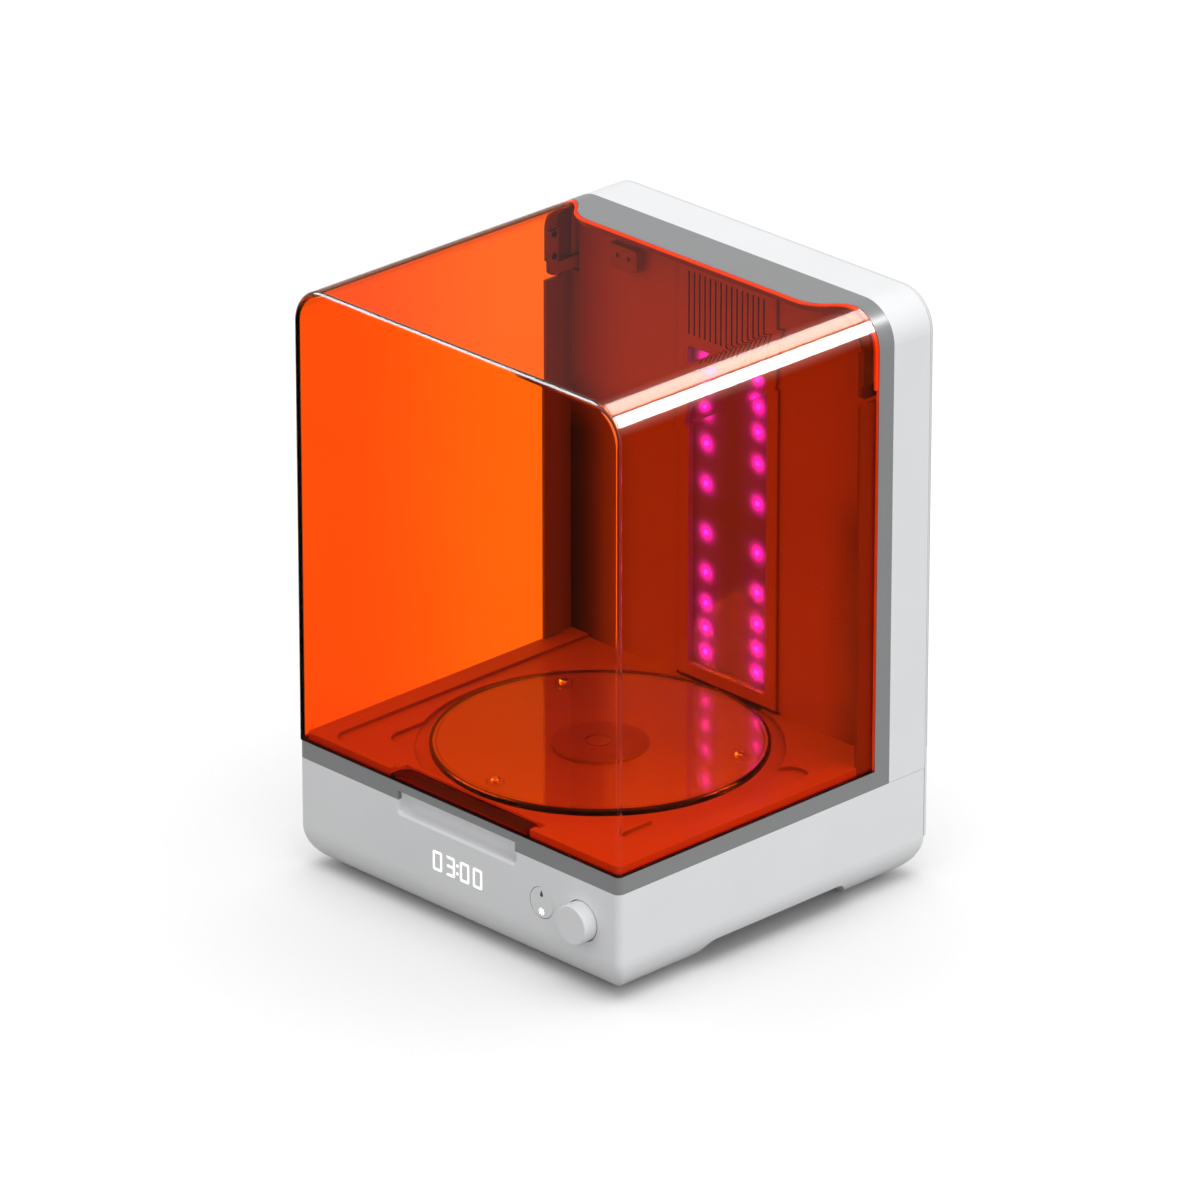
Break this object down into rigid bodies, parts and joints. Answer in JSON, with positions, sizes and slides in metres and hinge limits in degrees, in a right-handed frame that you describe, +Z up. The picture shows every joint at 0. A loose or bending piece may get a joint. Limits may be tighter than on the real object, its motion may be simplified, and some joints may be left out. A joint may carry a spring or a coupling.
{
  "type": "dental lab light curing unit",
  "caption": "Desktop light curing unit: base with timer display, button and knob, amber hood on a rear hinge, turntable, light window and warm-air slots.",
  "frame": {"origin": "on the surface that the feet stand on, below the middle of the overall box", "axes": "+Z up, -Y towards the front with the display, +X to the right seen from the front"},
  "size_m": [0.29, 0.2836, 0.3986],
  "materials": {
    "white_shell": "satin moulded",
    "grey_trim": "satin moulded",
    "amber_clear": "clear, polished",
    "chamber_plastic": "fine grain",
    "clear_disc": "clear, polished",
    "clear_pane": "clear, polished",
    "emitter": "glowing",
    "circuit_board": "coated",
    "white_board": "coated",
    "black_plastic": "moulded",
    "dark_plastic": "moulded",
    "bare_aluminium": "extruded",
    "sheet_steel": "zinc plated",
    "turned_steel": "ground",
    "black_steel": "black",
    "bronze": "sintered",
    "soft_rubber": "moulded",
    "lit_digit": "glowing",
    "dark_mark": "printed"
  },
  "bodies": {
    "base": {"base_shell": "white_shell", "rubber_feet": "soft_rubber", "base_plate": "white_shell", "base_plate_screws": "black_steel", "trim_frame": "grey_trim", "column_shell": "white_shell", "back_cover": "white_shell", "back_cover_screws": "black_steel", "chamber_tray": "chamber_plastic", "chamber_back_wall": "chamber_plastic", "lid_sensor": "dark_plastic", "led_window": "clear_pane", "led_board": "white_board", "led_emitters": "emitter", "led_heatsink": "bare_aluminium", "cooling_fan_frame": "black_plastic", "heater_duct": "dark_plastic", "ptc_heater": "bare_aluminium", "warm_air_fan_frame": "black_plastic", "hub_bearing": "bronze", "motor_bracket": "sheet_steel", "turntable_motor": "sheet_steel", "hinge_bracket_right": "sheet_steel", "hinge_bracket_left": "sheet_steel", "friction_discs": "bronze", "hinge_pins": "turned_steel", "hinge_bracket_screws": "turned_steel", "hood_bumpers": "soft_rubber", "display_board": "circuit_board", "display_module": "black_plastic", "timer_digits": "lit_digit", "button_switch": "black_plastic", "rotary_encoder": "sheet_steel", "power_inlet": "black_plastic", "inlet_pins": "turned_steel", "power_switch": "black_plastic", "power_supply": "sheet_steel", "main_board": "circuit_board", "board_standoffs": "bronze"},
    "hood": {"hood_shell": "amber_clear", "hinge_arm_right": "sheet_steel", "hinge_arm_left": "sheet_steel", "arm_screws": "black_steel"},
    "turntable_drive": {"drive_hub": "dark_plastic", "motor_shaft": "turned_steel"},
    "turntable_disc": {"turntable": "clear_disc", "turntable_studs": "turned_steel"},
    "button": {"mode_button": "white_shell", "button_drop_icon": "dark_mark", "button_sun_icon": "lit_digit"},
    "knob_carriage": {"encoder_carriage": "dark_plastic"},
    "knob": {"control_knob": "white_shell", "encoder_shaft": "turned_steel"},
    "rocker": {"power_rocker": "black_plastic"},
    "cooling_rotor": {"cooling_impeller": "black_plastic"},
    "warm_air_rotor": {"warm_air_impeller": "black_plastic"}
  },
  "joints": [
    {"name": "hood_hinge", "type": "hinge", "parent": "base", "child": "hood", "pos_m": [0, 0.12815, 0.3776], "axis": [-1, 0, 0], "range_deg": [0, 55]},
    {"name": "turntable_spin", "type": "hinge", "parent": "base", "child": "turntable_drive", "pos_m": [0, -0.00635, 0.0908], "axis": [0, 0, 1], "continuous": true},
    {"name": "turntable_lift_off", "type": "slide", "parent": "turntable_drive", "child": "turntable_disc", "axis": [0, 0, 1], "range_m": [0, 0.06]},
    {"name": "button_press", "type": "slide", "parent": "base", "child": "button", "axis": [0, 1, 0], "range_m": [0, 0.0008], "stiffness_N_per_m": 1500, "springref_m": -0.0008},
    {"name": "knob_press", "type": "slide", "parent": "base", "child": "knob_carriage", "axis": [0, 1, 0], "range_m": [0, 0.0008], "stiffness_N_per_m": 3000, "springref_m": -0.0008},
    {"name": "knob_turn", "type": "hinge", "parent": "knob_carriage", "child": "knob", "pos_m": [0.1125, -0.13185, 0.0479], "axis": [0, -1, 0], "continuous": true},
    {"name": "power_rock", "type": "hinge", "parent": "base", "child": "rocker", "pos_m": [-0.048, 0.13725, 0.05], "axis": [-1, 0, 0], "range_deg": [0, 16]},
    {"name": "cooling_fan_spin", "type": "hinge", "parent": "base", "child": "cooling_rotor", "pos_m": [0, 0.10645, 0.2103], "axis": [0, 1, 0], "continuous": true},
    {"name": "warm_air_fan_spin", "type": "hinge", "parent": "base", "child": "warm_air_rotor", "pos_m": [0, 0.10645, 0.3488], "axis": [0, 1, 0], "continuous": true}
  ]
}
